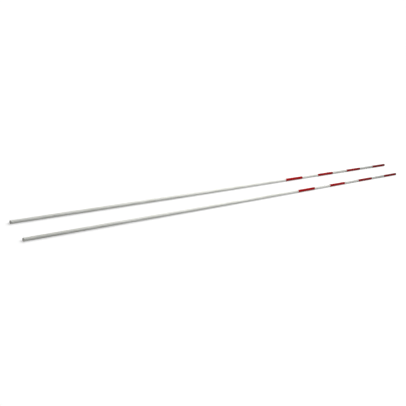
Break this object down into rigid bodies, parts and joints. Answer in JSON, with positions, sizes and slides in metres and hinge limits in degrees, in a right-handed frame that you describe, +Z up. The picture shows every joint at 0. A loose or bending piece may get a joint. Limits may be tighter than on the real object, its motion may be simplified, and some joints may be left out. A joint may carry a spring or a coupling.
{
  "type": "striped marker poles",
  "caption": "Loose pair of long thin round marker poles with red and white striped tips, as used on net side bands; laid side by side.",
  "frame": {"origin": "on the floor, below the middle of the pair of poles", "axes": "+X along the poles from the butt ends to the striped tips, +Y towards the left pole, +Z up"},
  "size_m": [1.8, 0.0758, 0.0098],
  "materials": {
    "fibre_white": "white resin-rich glass fibre, satin",
    "tape_red": "red vinyl tape, semi-gloss",
    "plug_black": "black moulded rubber, matt",
    "plug_grey": "pale grey moulded plastic, matt"
  },
  "bodies": {
    "left_pole": {"left_tube": "fibre_white", "left_band_1": "tape_red", "left_band_2": "tape_red", "left_band_3": "tape_red", "left_band_4": "tape_red", "left_tip_plug": "plug_black", "left_butt_plug": "plug_grey"},
    "right_pole": {"right_tube": "fibre_white", "right_band_1": "tape_red", "right_band_2": "tape_red", "right_band_3": "tape_red", "right_band_4": "tape_red", "right_tip_plug": "plug_black", "right_butt_plug": "plug_grey"}
  },
  "joints": [
    {"name": "right_pole_lift", "type": "slide", "parent": "left_pole", "child": "right_pole", "axis": [0, 0, 1], "range_m": [0, 0.3]}
  ]
}
